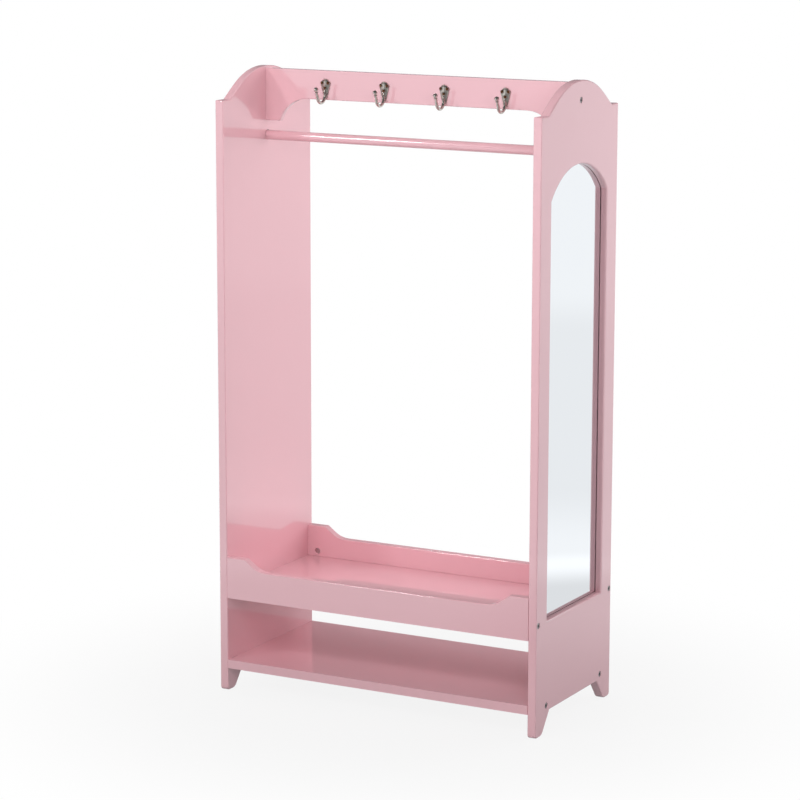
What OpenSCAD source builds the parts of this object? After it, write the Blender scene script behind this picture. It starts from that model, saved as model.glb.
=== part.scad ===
// Child's dress up stand: two arched side panels, a rail with four coat hooks,
// a hanging rod, a railed tray, a bottom shelf and a mirror let into one side.
// X is the width, Y the depth with the front at -Y, Z the height from the floor.
// The origin is on the floor in the middle of the stand.

/* [Overall] */
// Width over the outer faces of the side panels
unit_w = 600; // [540:10:700]
// Depth of the side panels, front to back
unit_d = 290; // [270:10:330]
// Height of the side panels at the top of their arch
unit_h = 1060; // [980:10:1180]
// Thickness of a side panel
panel_t = 15; // [14:0.5:18]

/* [Side panel outline] */
// Drop from the top of the arch to the flat shoulders
shoulder_drop = 48; // [42:1:52]
// Width of each flat shoulder, front and back
shoulder_w = 25; // [20:1:30]
// Slope of the arch's straight flanks above the shoulders, degrees
flank_angle = 34; // [31:1:38]
// Height of the cut-out between the feet
foot_gap_h = 37; // [30:1:38]
// Width of a foot at the top of the cut-out
foot_top_w = 53; // [48:1:60]
// Slope of the foot's inner edge, degrees
foot_slope = 52; // [46:1:60]
// Radius of the foot's inner toe
toe_r = 14; // [8:1:16]
// Radius of the foot's outer corner
heel_r = 6; // [2:1:9]

/* [Bottom shelf] */
// Height of the shelf's underside above the floor
shelf_z = 39.5; // [39:0.5:60]
// Thickness of the shelf
shelf_t = 15; // [14:0.5:18]

/* [Tray] */
// Height of the tray rails' underside above the floor
tray_z = 163.5; // [140:0.5:200]
// Thickness of the front and back tray rails
tray_rail_t = 15; // [14:0.5:18]
// Height of a tray rail along its middle
tray_rail_h = 52; // [46:1:60]
// Height of a tray rail at its two ends
tray_end_h = 71.5; // [68:0.5:80]
// Length of the raised flat at each end of a tray rail
tray_end_l = 35; // [32:1:50]
// Slope from a tray rail's raised end down to its middle, degrees
tray_dip_angle = 37; // [30:1:45]
// Radius at the foot of that slope
tray_dip_r = 45; // [30:1:60]
// Thickness of the tray's floor board
tray_board_t = 9; // [6:0.5:10]
// Height of the floor board's top above the rails' underside
tray_floor_h = 16; // [14:0.5:18]
// Depth of the grooves that carry the floor board
groove_depth = 5; // [3:0.5:6]

/* [Hook rail] */
// Thickness of the hook rail
rail_t = 12; // [12:0.5:18]
// Drop from the top of the panels to the top of the rail
rail_drop = 4; // [0:1:20]
// Height of the rail along its middle
rail_h = 49; // [46:1:60]
// Height of the rail at its two ends
rail_end_h = 88; // [80:1:92]
// Length of the flat under each end of the rail
rail_end_l = 27.4; // [22:0.2:35]
// Radius of the hollow corner between an end and the middle
rail_corner_r = 55; // [50:1:70]

/* [Hanging rod] */
// Diameter of the hanging rod
rod_d = 16; // [12:0.5:20]
// Height of the rod's axis below the top of the panels
rod_drop = 117.5; // [112:0.5:140]
// Depth of the rod's blind hole in each panel
rod_hole_depth = 9; // [6:0.5:9]
// Play of the rod in its hole, all round
rod_play = 0.6; // [0.3:0.1:0.8]
// Gap under the rod where it lies in its hole
rod_seat_gap = 0.1; // [0.05:0.05:0.3]
// Play of the rod at each end
rod_end_play = 0.5; // [0.2:0.1:0.8]

/* [Mirror] */
// Width of the mirror's window in the panel
window_w = 210; // [180:2:220]
// Height of the window's sill above the tray's floor
sill_h = 10.5; // [10:0.5:30]
// Drop from the rod's axis to the top of the window
window_drop = 17.5; // [17.5:0.5:30]
// Radius of the window's arched head
window_r = 135; // [125:1:160]
// Thickness of the panel's lip round the window
lip_t = 10.5; // [8.5:0.5:10.5]
// Thickness of the mirror
mirror_t = 2; // [1.5:0.5:3]
// Width of the mirror that the lip covers at the sides and sill
mirror_cover = 6; // [4:0.5:7]
// Width of the mirror that the lip covers at the head
mirror_head_cover = 4; // [3:0.5:5]
// Distance that the backing board reaches past the mirror at the sides
backing_margin = 6; // [6:0.5:8]
// Distance that the backing board reaches past the mirror at the head and sill
backing_end_margin = 2; // [1.5:0.5:2.5]
// Play of the mirror and of its backing board in their rebates
mirror_play = 0.4; // [0.2:0.1:0.6]
// Distance of the end screws of the backing board from its sill and from its arch's centre
backing_screw_end = 45; // [30:1:60]
// Number of screws down each side of the backing board
backing_screws = 4; // [3:1:6]

/* [Coat hooks] */
// Spacing of the four hooks along the rail
hook_spacing = 112; // [90:1:120]
// Height of the hooks' plates
hook_plate_h = 34; // [32:1:38]
// Width of the hooks' plates
hook_plate_w = 17.6; // [16:0.2:20]
// Thickness of a hook's plate along its middle
hook_plate_t = 4.2; // [3.6:0.1:5]
// Radius of the plate's crowned face
hook_crown_r = 15; // [14:1:24]
// Drop from the top of the rail to the top of the plates
hook_drop = 13; // [8:0.5:13]
// Diameter of the prong
prong_d = 5.5; // [4:0.1:6]
// Radius of the prong's bend, to its middle
prong_bend_r = 12.6; // [10:0.2:14]
// Lean of the prong's tip away from the rail, degrees
prong_lean = 20; // [8:1:30]
// Length of the prong's straight tip
prong_l = 16; // [10:0.5:20]
// Diameter of the ball at the prong's end
ball_d = 8; // [6.5:0.1:10]
// Radius of the plate's three upper corners
plate_corner_r = 3.2; // [2.8:0.1:3.6]
// Radius of the plate's lower tip
plate_tip_r = 2.8; // [2.4:0.1:3.2]
// How far the prong's bend hangs below the plate's tip, to its middle
prong_below = 5.5; // [3:0.5:7]
// Height of the rib that carries the prong up the plate
rib_l = 7; // [4:0.5:9]
// Distance of the two upper screws from the plate's middle
hook_screw_x = 5.8; // [5.4:0.1:6]
// Height of the lower screw above the plate's tip
hook_low_screw_h = 18.5; // [18:0.5:20]

/* [Fasteners] */
// Diameter of the joining bolts
bolt_d = 6; // [5:0.5:6.5]
// Diameter of a joining bolt's head
bolt_head_d = 9.6; // [9:0.2:12]
// Height of a joining bolt's head
bolt_head_h = 3.2; // [2.5:0.1:4]
// Depth of a bolt's head below the panel's face
bolt_sink = 0.5; // [0.2:0.1:1]
// Length of a joining bolt under its head
bolt_l = 40; // [36:1:48]
// Distance of the shelf's bolts from the panels' front and back edges
shelf_bolt_inset = 40; // [30:1:50]
// Height of the tray rails' bolts above the tray's floor
tray_bolt_rise = 9.5; // [8:0.5:12]
// Drop from the top of the hook rail to its bolts
rail_bolt_drop = 28; // [20:1:32]
// Diameter of the cross dowel nuts
nut_d = 10; // [9:0.5:11]
// Distance of a nut's axis from the end of its board
nut_inset = 20; // [16:1:22]
// Diameter of the locating dowels
dowel_d = 6; // [5:0.5:8]
// Length of the locating dowels
dowel_l = 30; // [24:1:36]
// Depth of a dowel in the side panel
dowel_in_panel = 9; // [6:0.5:10]
// Distance of the shelf's dowels from its bolts
shelf_dowel_gap = 35; // [20:1:60]
// Height of a tray rail's dowels above its bolts
tray_dowel_rise = 28; // [20:1:30]
// Height of the hook rail's dowels above the underside of its ends
rail_dowel_rise = 17; // [12:1:24]
// Diameter of the small wood screws
screw_d = 3; // [2.5:0.1:3.2]
// Diameter of the small wood screws' heads
screw_head_d = 5; // [4.6:0.1:5.4]
// Height of the small wood screws' domed heads
screw_head_h = 1.4; // [1:0.1:1.8]
// Length of the backing board's screws
backing_screw_l = 8; // [6:0.5:9]
// Length of the hooks' screws in the rail
hook_screw_l = 8.5; // [7:0.5:10]
// Play of bolts, nuts and dowels in their holes, all round
hole_play = 0.3; // [0.1:0.05:0.4]

/* [Hidden] */
$fn = 96;
eps = 0.5; // how far a cut runs past the face it opens

pink = [0.90, 0.66, 0.70];
pewter = [0.50, 0.47, 0.43];
bronze = [0.46, 0.33, 0.20];
dark_steel = [0.25, 0.22, 0.22];
steel = [0.66, 0.67, 0.69];
glass = [0.86, 0.91, 0.93];
beech = [0.80, 0.66, 0.46];

// Side panel
outer_x = unit_w / 2;
inner_x = outer_x - panel_t;
half_d = unit_d / 2;
shoulder_z = unit_h - shoulder_drop;
notch_y = half_d - shoulder_w;
arch_r = (notch_y * sin(flank_angle) - shoulder_drop * cos(flank_angle)) / (1 - cos(flank_angle));
flank_y = arch_r * sin(flank_angle);
flank_z = unit_h - arch_r * (1 - cos(flank_angle));
foot_gap_y = half_d - foot_top_w;
toe_run = toe_r * tan(foot_slope / 2);
toe_corner_y = foot_gap_y + foot_gap_h / tan(foot_slope);
toe_y = toe_corner_y + toe_run;

// Shelf
shelf_mid_z = shelf_z + shelf_t / 2;
shelf_bolt_y = half_d - shelf_bolt_inset;
shelf_dowel_y = shelf_bolt_y - shelf_dowel_gap;

// Tray
tray_rail_y = half_d - tray_rail_t / 2;
tray_inner_y = half_d - tray_rail_t;
tray_floor_z = tray_z + tray_floor_h;
tray_bolt_z = tray_floor_z + tray_bolt_rise;
tray_dowel_z = tray_bolt_z + tray_dowel_rise;
tray_low_z = tray_z + tray_rail_h;
tray_high_z = tray_z + tray_end_h;
dip_top_x = inner_x - tray_end_l;
dip_arc_h = tray_dip_r * (1 - cos(tray_dip_angle));
dip_slope_x = dip_top_x - (tray_end_h - tray_rail_h - dip_arc_h) / tan(tray_dip_angle);
dip_flat_x = dip_slope_x - tray_dip_r * sin(tray_dip_angle);

// Hook rail
rail_top_z = unit_h - rail_drop;
rail_low_z = rail_top_z - rail_h;
rail_end_z = rail_top_z - rail_end_h;
corner_drop = rail_end_h - rail_h;
corner_run = sqrt(rail_corner_r * rail_corner_r - pow(rail_corner_r - corner_drop, 2));
corner_x = inner_x - rail_end_l - corner_run;
rail_bolt_z = rail_top_z - rail_bolt_drop;
rail_dowel_z = rail_end_z + rail_dowel_rise;

// Rod
rod_z = unit_h - rod_drop;
rod_hole_z = rod_z + rod_play - rod_seat_gap;
rod_hole_d = rod_d + 2 * rod_play;
rod_l = 2 * (inner_x + rod_hole_depth - rod_end_play);

// Mirror
sill_z = tray_floor_z + sill_h;
window_top_z = rod_z - window_drop;
lip_x = outer_x - lip_t;
mirror_x = lip_x - mirror_t;
backing_t = mirror_x - inner_x;
backing_screw_y = window_w / 2 + mirror_cover + backing_margin / 2;
backing_screw_low_z = sill_z + backing_screw_end;
backing_screw_high_z = window_top_z - window_r + backing_screw_end;

// Hooks
plate_top_z = rail_top_z - hook_drop;
plate_tip_z = plate_top_z - hook_plate_h;
plate_corner_z = plate_top_z - 2 * plate_corner_r;
plate_waist_z = plate_top_z - hook_plate_h / 2;
plate_taper = 0.5; // narrowing of the plate from its corners to its waist, each side
hook_screw_z = plate_corner_z - plate_taper;
hook_low_screw_z = plate_tip_z + hook_low_screw_h;
prong_r = prong_d / 2;
prong_step = 0.94; // thickness of the prong's straight parts as a share of its bend's
prong_taper = 0.8; // the same at the ball
rib_taper = 0.6; // the same at the top of the rib
prong_lap = 1; // how far the straight parts start inside the bend
prong_gap = 0.4; // space between the prong's root and the rail
bend_y = -(rail_t / 2 + prong_gap + prong_r + prong_bend_r);
bend_z = plate_tip_z - prong_below + prong_bend_r;
head_sink = 0.6; // depth of a screw's head in the crown of its plate
hook_head_y = -(rail_t / 2 + hook_plate_t - head_sink);
hook_hole_l = hook_screw_l + eps; // depth of a hook screw's hole in the rail

// Fasteners
bolt_hole_d = bolt_d + 2 * hole_play;
bolt_end = bolt_sink + bolt_head_h + bolt_l;
nut_hole_d = nut_d + 2 * hole_play;
nut_wall = 2; // board left under a nut's blind hole
nut_bore_play = 0.1;
slot_w = 1.2; // screwdriver slot of a nut
slot_h = 1.6;
cross_w = 0.7; // cross recess of a wood screw
cross_l = 0.55 * screw_head_d;
cross_h = 1;
dowel_hole_d = dowel_d + 2 * hole_play;
dowel_in_board = dowel_l - dowel_in_panel;
socket_d = 4.6;
socket_h = 0.7 * bolt_head_h;
screw_play = 0.1; // play of a wood screw in its hole
plate_play = 0.2; // play of a wood screw in a hook's plate

// Copies its children on the left and right sides.
module both_sides() {
    children();
    mirror([1, 0, 0]) children();
}

// Copies its children at the front and back.
module front_and_back() {
    children();
    mirror([0, 1, 0]) children();
}

// Stands a YZ outline up as a slab from x to x + thick.
module slab_x(x, thick) {
    translate([x, 0, 0]) rotate([90, 0, 90]) linear_extrude(thick) children();
}

// Stands an XZ outline up as a slab from y to y + thick.
module slab_y(y, thick) {
    translate([0, y + thick, 0]) rotate([90, 0, 0]) linear_extrude(thick) children();
}

// A bar along X, from x to x + length.
module bar_x(x, length, d) {
    translate([x, 0, 0]) rotate([0, 90, 0]) cylinder(h = length, d = d);
}

// Outline of a side panel without the cut between its feet.
module panel_blank() {
    difference() {
        union() {
            translate([-half_d, 0]) square([unit_d, shoulder_z]);
            polygon([[-notch_y, shoulder_z], [notch_y, shoulder_z],
                [flank_y, flank_z], [-flank_y, flank_z]]);
            intersection() {
                translate([0, unit_h - arch_r]) circle(arch_r);
                translate([-flank_y, flank_z]) square([2 * flank_y, arch_r]);
            }
        }
        for (s = [-1, 1]) difference() {
            translate([s * half_d, 0]) square(2 * heel_r, center = true);
            translate([s * (half_d - heel_r), heel_r]) circle(heel_r);
        }
    }
}

// Outline of the space between the feet.
module foot_gap() {
    toe_top_y = toe_corner_y - toe_run * cos(foot_slope);
    toe_top_z = toe_run * sin(foot_slope);
    difference() {
        polygon([[-toe_y, -eps], [toe_y, -eps], [toe_y, 0], [toe_top_y, toe_top_z],
            [foot_gap_y, foot_gap_h], [-foot_gap_y, foot_gap_h],
            [-toe_top_y, toe_top_z], [-toe_y, 0]]);
        for (s = [-1, 1]) translate([s * toe_y, toe_r]) circle(toe_r);
    }
}

// Outline of the mirror's window, wider by side, deeper by foot, taller by rise.
module window_shape(side = 0, foot = 0, rise = 0) {
    centre_z = window_top_z - window_r;
    half_w = window_w / 2 + side;
    intersection() {
        union() {
            translate([0, centre_z]) circle(window_r + rise);
            translate([-half_w, sill_z - foot]) square([2 * half_w, centre_z - sill_z + foot]);
        }
        translate([-half_w, sill_z - foot])
            square([2 * half_w, window_top_z + rise - sill_z + foot]);
    }
}

module mirror_shape(play) {
    window_shape(mirror_cover - play, mirror_cover - play, mirror_head_cover - play);
}

module backing_shape(play) {
    window_shape(mirror_cover + backing_margin - play,
        mirror_cover + backing_end_margin - play,
        mirror_head_cover + backing_end_margin - play);
}

// Places its children at each screw of the mirror's backing board.
module at_backing_screws() {
    step = (backing_screw_high_z - backing_screw_low_z) / (backing_screws - 1);
    for (i = [0 : backing_screws - 1]) front_and_back()
        translate([inner_x, backing_screw_y, backing_screw_low_z + i * step]) children();
}

// Bolt with a hex socket, its head's face just under the panel's face at x = 0.
module bolt() {
    difference() {
        union() {
            bar_x(-bolt_sink - bolt_head_h, bolt_head_h, bolt_head_d);
            bar_x(-bolt_end, bolt_l + eps, bolt_d);
        }
        translate([-bolt_sink - socket_h, 0, 0]) rotate([0, 90, 0])
            cylinder(h = socket_h + eps, d = socket_d, $fn = 6);
    }
}

// Hole for a bolt through a side panel, with a seat for its head.
module panel_bolt_hole() {
    bar_x(-bolt_sink - bolt_head_h, bolt_head_h + bolt_sink + eps, bolt_head_d + 2 * hole_play);
    bar_x(-panel_t - eps, panel_t, bolt_hole_d);
}

// Hole for a bolt into the end of a board, measured from the panel's outer face.
module board_bolt_hole() {
    bar_x(-bolt_end - 1, bolt_end + 1 - panel_t + eps, bolt_hole_d);
}

// Cross dowel nut of length l, upright on its blind end, bored for its bolt.
module nut(l) {
    difference() {
        cylinder(h = l, d = nut_d);
        translate([0, 0, l / 2]) bar_x(-nut_d, 2 * nut_d, bolt_d + 2 * nut_bore_play);
        translate([-nut_d, -slot_w / 2, l - slot_h / 2]) cube([2 * nut_d, slot_w, slot_h]);
    }
}

// Dowel across the joint between a panel's inner face, at x = 0, and a board.
module dowel() {
    bar_x(-dowel_in_board, dowel_l, dowel_d);
}

// Hole for a dowel, deeper than the dowel by its play at both ends.
module dowel_hole() {
    bar_x(-dowel_in_board - hole_play, dowel_l + 2 * hole_play, dowel_hole_d);
}

// Domed wood screw along +Z with the underside of its head at z = 0.
module wood_screw(l) {
    dome_r = (screw_head_d * screw_head_d / 4 + screw_head_h * screw_head_h) / (2 * screw_head_h);
    difference() {
        union() {
            translate([0, 0, -eps]) cylinder(h = l + eps, d = screw_d);
            intersection() {
                translate([0, 0, dome_r - screw_head_h]) sphere(dome_r);
                translate([0, 0, -screw_head_h]) cylinder(h = screw_head_h, d = screw_head_d);
            }
        }
        for (a = [0, 90]) rotate([0, 0, a])
            translate([0, 0, -screw_head_h]) cube([cross_l, cross_w, cross_h], center = true);
    }
}

// Side panel on the +X side with everything but the window.
module panel_body() {
    difference() {
        slab_x(inner_x, panel_t) difference() {
            panel_blank();
            foot_gap();
        }
        translate([inner_x - eps, 0, rod_hole_z]) bar_x(0, rod_hole_depth + eps, rod_hole_d);
        translate([outer_x, 0, rail_bolt_z]) panel_bolt_hole();
        translate([inner_x, 0, rail_dowel_z]) dowel_hole();
        front_and_back() {
            translate([outer_x, tray_rail_y, tray_bolt_z]) panel_bolt_hole();
            translate([inner_x, tray_rail_y, tray_dowel_z]) dowel_hole();
            translate([outer_x, shelf_bolt_y, shelf_mid_z]) panel_bolt_hole();
            translate([inner_x, shelf_dowel_y, shelf_mid_z]) dowel_hole();
        }
    }
}

module side_panel_left() {
    color(pink) mirror([1, 0, 0]) panel_body();
}

module side_panel_right() {
    color(pink) difference() {
        panel_body();
        slab_x(lip_x - eps, lip_t + 2 * eps) window_shape();
        slab_x(mirror_x - eps, mirror_t + eps) mirror_shape(0);
        slab_x(inner_x - eps, backing_t + eps) backing_shape(0);
        at_backing_screws() bar_x(0, backing_screw_l + eps, screw_d + 2 * screw_play);
    }
}

// Rail across the top: straight along the middle, deeper at both ends.
module hook_rail() {
    color(pink) difference() {
        slab_y(-rail_t / 2, rail_t) difference() {
            translate([-inner_x, rail_end_z]) square([2 * inner_x, rail_end_h]);
            translate([-corner_x, rail_end_z - eps]) square([2 * corner_x, corner_drop + eps]);
            for (s = [-1, 1]) translate([s * corner_x, rail_low_z - rail_corner_r])
                circle(rail_corner_r);
        }
        both_sides() {
            translate([outer_x, 0, rail_bolt_z]) board_bolt_hole();
            translate([inner_x, 0, rail_dowel_z]) dowel_hole();
            translate([inner_x - nut_inset, nut_wall - rail_t / 2, rail_bolt_z])
                rotate([-90, 0, 0]) cylinder(h = rail_t, d = nut_hole_d);
        }
        at_hook_screws() translate([0, -rail_t / 2 - eps, 0])
            rotate([-90, 0, 0]) cylinder(h = hook_hole_l + eps, d = screw_d + 2 * screw_play);
    }
}

module hanging_rod() {
    color(pink) translate([0, 0, rod_z]) bar_x(-rod_l / 2, rod_l, rod_d);
}

// Outline of a tray rail: low along its middle, raised at both ends.
module tray_rail_shape() {
    difference() {
        translate([-inner_x, tray_z]) square([2 * inner_x, tray_end_h]);
        polygon([[-dip_flat_x, tray_low_z], [dip_flat_x, tray_low_z],
            [dip_slope_x, tray_low_z + dip_arc_h], [dip_top_x, tray_high_z],
            [dip_top_x, tray_high_z + eps], [-dip_top_x, tray_high_z + eps],
            [-dip_top_x, tray_high_z], [-dip_slope_x, tray_low_z + dip_arc_h]]);
        for (s = [-1, 1]) translate([s * dip_flat_x, tray_low_z + tray_dip_r]) circle(tray_dip_r);
    }
}

// Back tray rail, grooved for the floor board, with its nuts' holes inside.
module tray_rail() {
    difference() {
        slab_y(tray_inner_y, tray_rail_t) tray_rail_shape();
        translate([-inner_x - eps, tray_inner_y - eps, tray_floor_z - tray_board_t])
            cube([2 * (inner_x + eps), groove_depth + eps, tray_board_t + hole_play]);
        both_sides() {
            translate([outer_x, tray_rail_y, tray_bolt_z]) board_bolt_hole();
            translate([inner_x, tray_rail_y, tray_dowel_z]) dowel_hole();
            translate([inner_x - nut_inset, tray_inner_y - eps, tray_bolt_z])
                rotate([-90, 0, 0]) cylinder(h = tray_rail_t - nut_wall + eps, d = nut_hole_d);
        }
    }
}

module tray_front_rail() {
    color(pink) mirror([0, 1, 0]) tray_rail();
}

module tray_back_rail() {
    color(pink) tray_rail();
}

// Floor board of the tray, held in the two rails' grooves.
module tray_board() {
    board_y = tray_inner_y + groove_depth - hole_play;
    color(pink) translate([-inner_x, -board_y, tray_floor_z - tray_board_t])
        cube([2 * inner_x, 2 * board_y, tray_board_t]);
}

// Bottom shelf, with its nuts' holes underneath.
module bottom_shelf() {
    color(pink) difference() {
        translate([-inner_x, -half_d, shelf_z]) cube([2 * inner_x, unit_d, shelf_t]);
        both_sides() front_and_back() {
            translate([outer_x, shelf_bolt_y, shelf_mid_z]) board_bolt_hole();
            translate([inner_x, shelf_dowel_y, shelf_mid_z]) dowel_hole();
            translate([inner_x - nut_inset, shelf_bolt_y, shelf_z - eps])
                cylinder(h = shelf_t - nut_wall + eps, d = nut_hole_d);
        }
    }
}

module mirror_sheet() {
    color(glass) slab_x(mirror_x, mirror_t) mirror_shape(mirror_play);
}

// Board behind the mirror, flush with the panel's inner face.
module mirror_backing() {
    color(pink) difference() {
        slab_x(inner_x, backing_t) backing_shape(mirror_play);
        at_backing_screws() bar_x(-eps, backing_t + 2 * eps, screw_d + 2 * screw_play);
    }
}

module mirror_backing_screws() {
    color(steel) at_backing_screws() rotate([0, 90, 0]) wood_screw(backing_screw_l);
}

// Outline of a hook's plate: a shield with a rounded crown and a narrow tip.
module plate_shape() {
    corner_x = hook_plate_w / 2 - plate_corner_r;
    translate([0, plate_top_z - plate_corner_r]) circle(plate_corner_r);
    for (s = [-1, 1]) translate([s * corner_x, plate_corner_z]) circle(plate_corner_r);
    translate([0, plate_tip_z + plate_tip_r]) circle(plate_tip_r);
    polygon([[0, plate_top_z - plate_corner_r], [-corner_x, plate_corner_z + plate_corner_r],
        [-hook_plate_w / 2, plate_corner_z], [plate_taper - hook_plate_w / 2, plate_waist_z],
        [-plate_tip_r, plate_tip_z + plate_tip_r], [plate_tip_r, plate_tip_z + plate_tip_r],
        [hook_plate_w / 2 - plate_taper, plate_waist_z], [hook_plate_w / 2, plate_corner_z],
        [corner_x, plate_corner_z + plate_corner_r]]);
}

// The prong's bend, leaning tip and ball, and the rib that carries it up the plate.
// The tip and the rib are a little thinner than the bend, and start inside it.
module prong() {
    start = prong_lean - 180;
    translate([0, bend_y, bend_z]) rotate([90, 0, 90]) {
        rotate([0, 0, start]) rotate_extrude(angle = -start) translate([prong_bend_r, 0])
            circle(prong_r);
        translate([prong_bend_r * cos(start), prong_bend_r * sin(start), 0])
            rotate([0, 0, prong_lean]) rotate([-90, 0, 0]) {
                translate([0, 0, -prong_lap])
                    cylinder(h = prong_l + prong_lap, r1 = prong_r * prong_step, r2 = prong_r * prong_taper);
                translate([0, 0, prong_l]) sphere(d = ball_d);
            }
        translate([prong_bend_r, -prong_lap, 0]) rotate([-90, 0, 0])
            cylinder(h = rib_l + prong_lap, r1 = prong_r * prong_step, r2 = prong_r * rib_taper);
    }
}

// Cast hook in the middle of the rail: crowned plate and prong in one piece.
module hook() {
    color(pewter) difference() {
        union() {
            intersection() {
                slab_y(-rail_t / 2 - hook_plate_t, hook_plate_t) plate_shape();
                translate([0, hook_crown_r - rail_t / 2 - hook_plate_t, plate_tip_z - eps])
                    cylinder(h = hook_plate_h + 2 * eps, r = hook_crown_r);
            }
            prong();
        }
        at_hook_screws_of_one() translate([0, -rail_t / 2 - 2 * hook_plate_t, 0])
            rotate([-90, 0, 0]) cylinder(h = 2 * hook_plate_t + eps, d = screw_d + 2 * plate_play);
        at_hook_screws_of_one() translate([0, hook_head_y - 2 * hook_plate_t, 0])
            rotate([-90, 0, 0]) cylinder(h = 2 * hook_plate_t, d = screw_head_d + hole_play);
    }
}

function hook_x(i) = (i - 2.5) * hook_spacing;

// Places its children on the axes of one hook's three screws.
module at_hook_screws_of_one() {
    for (s = [-1, 1]) translate([s * hook_screw_x, 0, hook_screw_z]) children();
    translate([0, 0, hook_low_screw_z]) children();
}

module at_hook_screws() {
    for (i = [1 : 4]) translate([hook_x(i), 0, 0]) at_hook_screws_of_one() children();
}

module hook_screws() {
    color(bronze) at_hook_screws() translate([0, hook_head_y, 0]) rotate([-90, 0, 0])
        wood_screw(hook_screw_l - hook_head_y - rail_t / 2);
}

module rail_bolts() {
    color(dark_steel) both_sides() translate([outer_x, 0, rail_bolt_z]) bolt();
}

module tray_bolts() {
    color(dark_steel) both_sides() front_and_back()
        translate([outer_x, tray_rail_y, tray_bolt_z]) bolt();
}

module shelf_bolts() {
    color(dark_steel) both_sides() front_and_back()
        translate([outer_x, shelf_bolt_y, shelf_mid_z]) bolt();
}

// A nut's blind end rests on the floor of its hole, and its middle is on the bolt.
module rail_nuts() {
    l = rail_t - 2 * nut_wall;
    color(steel) both_sides() translate([inner_x - nut_inset, -l / 2, rail_bolt_z])
        rotate([-90, 0, 0]) nut(l);
}

module tray_nuts() {
    l = tray_rail_t - 2 * nut_wall;
    color(steel) both_sides() front_and_back()
        translate([inner_x - nut_inset, tray_rail_y + l / 2, tray_bolt_z])
            rotate([90, 0, 0]) nut(l);
}

module shelf_nuts() {
    l = shelf_t - 2 * nut_wall;
    color(steel) both_sides() front_and_back()
        translate([inner_x - nut_inset, shelf_bolt_y, shelf_mid_z + l / 2])
            rotate([180, 0, 0]) nut(l);
}

module rail_dowels() {
    color(beech) both_sides() translate([inner_x, 0, rail_dowel_z]) dowel();
}

module tray_dowels() {
    color(beech) both_sides() front_and_back()
        translate([inner_x, tray_rail_y, tray_dowel_z]) dowel();
}

module shelf_dowels() {
    color(beech) both_sides() front_and_back()
        translate([inner_x, shelf_dowel_y, shelf_mid_z]) dowel();
}

side_panel_left();
side_panel_right();
hook_rail();
hanging_rod();
tray_front_rail();
tray_back_rail();
tray_board();
bottom_shelf();
mirror_sheet();
mirror_backing();
mirror_backing_screws();
translate([hook_x(1), 0, 0]) hook();  // hook_1
translate([hook_x(2), 0, 0]) hook();  // hook_2
translate([hook_x(3), 0, 0]) hook();  // hook_3
translate([hook_x(4), 0, 0]) hook();  // hook_4
hook_screws();
rail_bolts();
tray_bolts();
shelf_bolts();
rail_nuts();
tray_nuts();
shelf_nuts();
rail_dowels();
tray_dowels();
shelf_dowels();
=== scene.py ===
"""Looks of a child's dress up stand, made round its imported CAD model."""

import math

import bmesh
import bpy
from mathutils import Matrix, Quaternion, Vector


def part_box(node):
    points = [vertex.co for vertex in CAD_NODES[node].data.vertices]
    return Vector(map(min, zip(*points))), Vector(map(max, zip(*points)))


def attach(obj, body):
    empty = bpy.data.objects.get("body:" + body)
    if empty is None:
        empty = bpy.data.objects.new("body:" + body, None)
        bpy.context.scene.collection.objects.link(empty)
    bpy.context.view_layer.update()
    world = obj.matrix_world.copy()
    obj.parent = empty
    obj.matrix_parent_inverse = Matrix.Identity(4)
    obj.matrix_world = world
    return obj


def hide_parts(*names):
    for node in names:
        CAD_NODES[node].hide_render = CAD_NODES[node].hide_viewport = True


bl_info = {
    "name": "Dress Up Stand",
    "version": (1, 0, 0),
    "blender": (4, 5, 0),
    "location": "3D View > Sidebar > Stand",
    "description": "Rounded, lacquered and fitted out pieces for a child's dress up stand",
    "category": "Object",
}

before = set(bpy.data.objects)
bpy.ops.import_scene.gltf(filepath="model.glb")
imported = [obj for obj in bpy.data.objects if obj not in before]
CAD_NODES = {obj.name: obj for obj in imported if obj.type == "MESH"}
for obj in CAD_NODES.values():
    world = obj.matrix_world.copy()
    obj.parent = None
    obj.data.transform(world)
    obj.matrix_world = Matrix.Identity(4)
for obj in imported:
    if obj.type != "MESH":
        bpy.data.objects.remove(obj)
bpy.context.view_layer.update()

MM = 0.001
WELD = 0.001 * MM  # distance at which the CAD triangles' corners join
FLAT = math.radians(0.2)  # triangles that turn less than this are one face
SHARP = math.radians(28)  # an edge that turns more than this is a real edge
RIM_SIZE = 60 * MM  # rims longer than this are outlines or windows, and the rest are small holes
OUTLINE_SIZE = 1.0  # the side panels' outlines are longer than this, and the window is shorter
BROAD = 0.9  # a face whose normal lies this much along a board's thickness is a broad side

PANEL_INSIDE, PANEL_OUTSIDE = (corner.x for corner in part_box("side_panel_right"))
MIRROR_BACK, MIRROR_FRONT = (corner.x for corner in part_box("mirror_sheet"))
TRAY_BOARD_LOW, TRAY_BOARD_HIGH = (corner.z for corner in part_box("tray_board"))

ROD_ROUND = 1.2 * MM  # radius at the ends of the hanging rod
SCREW_SHARE = 0.4  # share of the metal edge radius that the small wood screws get
BOSS = (2.5 * MM, 3.3 * MM)  # distance from a hook's screw over which its boss falls away
BOSS_HOLLOW = (3.0 * MM, 4.2 * MM)  # and over which the dark hollow round the boss fades

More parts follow.
